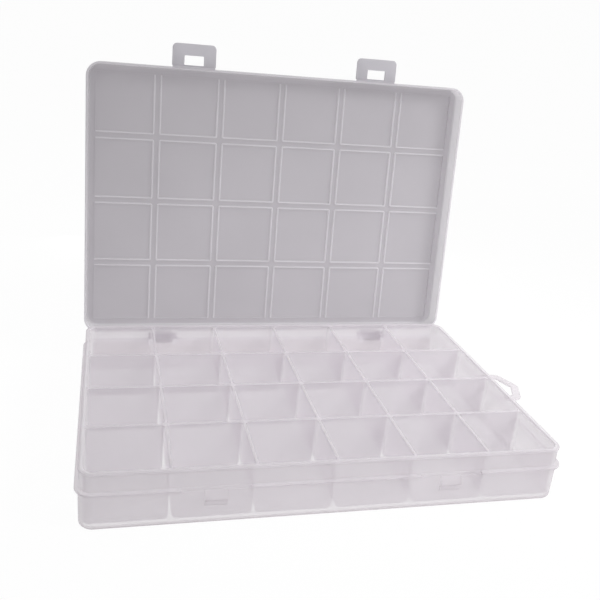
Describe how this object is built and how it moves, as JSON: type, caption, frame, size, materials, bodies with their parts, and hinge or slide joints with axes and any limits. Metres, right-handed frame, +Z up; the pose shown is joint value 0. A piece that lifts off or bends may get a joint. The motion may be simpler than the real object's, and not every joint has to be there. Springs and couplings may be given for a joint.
{
  "type": "compartment organizer box",
  "caption": "Flat frosted plastic organizer box: a tray of equal small compartments, a snap-hinged lid with cell ribs, two windowed latch tabs on film hinges, and a hanging loop.",
  "frame": {"origin": "centre of the tray's flat bottom face", "axes": "+X to the right along the tray's long side, +Y from the latches to the hinges, +Z up; the lid stands open on its stop"},
  "size_m": [0.2145, 0.1605, 0.1668],
  "materials": {
    "tray_frosted_polypropylene": "frosted, satin polypropylene",
    "divider_frosted_polypropylene": "frosted, satin polypropylene",
    "hinge_frosted_polypropylene": "frosted, satin polypropylene",
    "lid_frosted_polypropylene": "frosted, satin polypropylene",
    "latch_frosted_polypropylene": "frosted, satin polypropylene"
  },
  "bodies": {
    "tray": {"tray_shell": "tray_frosted_polypropylene", "row_divider_1": "divider_frosted_polypropylene", "row_divider_2": "divider_frosted_polypropylene", "row_divider_3": "divider_frosted_polypropylene", "cross_divider_row1_1": "divider_frosted_polypropylene", "cross_divider_row1_2": "divider_frosted_polypropylene", "cross_divider_row1_3": "divider_frosted_polypropylene", "cross_divider_row1_4": "divider_frosted_polypropylene", "cross_divider_row1_5": "divider_frosted_polypropylene", "cross_divider_row2_1": "divider_frosted_polypropylene", "cross_divider_row2_2": "divider_frosted_polypropylene", "cross_divider_row2_3": "divider_frosted_polypropylene", "cross_divider_row2_4": "divider_frosted_polypropylene", "cross_divider_row2_5": "divider_frosted_polypropylene", "cross_divider_row3_1": "divider_frosted_polypropylene", "cross_divider_row3_2": "divider_frosted_polypropylene", "cross_divider_row3_3": "divider_frosted_polypropylene", "cross_divider_row3_4": "divider_frosted_polypropylene", "cross_divider_row3_5": "divider_frosted_polypropylene", "cross_divider_row4_1": "divider_frosted_polypropylene", "cross_divider_row4_2": "divider_frosted_polypropylene", "cross_divider_row4_3": "divider_frosted_polypropylene", "cross_divider_row4_4": "divider_frosted_polypropylene", "cross_divider_row4_5": "divider_frosted_polypropylene", "latch_catch_left": "tray_frosted_polypropylene", "latch_catch_right": "tray_frosted_polypropylene", "hanging_loop": "tray_frosted_polypropylene", "hinge_lugs_left": "hinge_frosted_polypropylene", "hinge_lugs_right": "hinge_frosted_polypropylene"},
    "lid": {"lid_shell": "lid_frosted_polypropylene", "hinge_clip_left": "hinge_frosted_polypropylene", "hinge_clip_right": "hinge_frosted_polypropylene"},
    "latch_left": {"latch_tab_left": "latch_frosted_polypropylene"},
    "latch_right": {"latch_tab_right": "latch_frosted_polypropylene"}
  },
  "joints": [
    {"name": "lid_hinge", "type": "hinge", "parent": "tray", "child": "lid", "pos_m": [0, 0.0712, 0.016], "axis": [1, 0, 0], "range_deg": [0, 94]},
    {"name": "latch_fold_left", "type": "hinge", "parent": "lid", "child": "latch_left", "pos_m": [-0.0474, 0.08131, 0.15549], "axis": [1, 0, 0], "range_deg": [0, 97]},
    {"name": "latch_fold_right", "type": "hinge", "parent": "lid", "child": "latch_right", "pos_m": [0.0474, 0.08131, 0.15549], "axis": [1, 0, 0], "range_deg": [0, 97]}
  ]
}
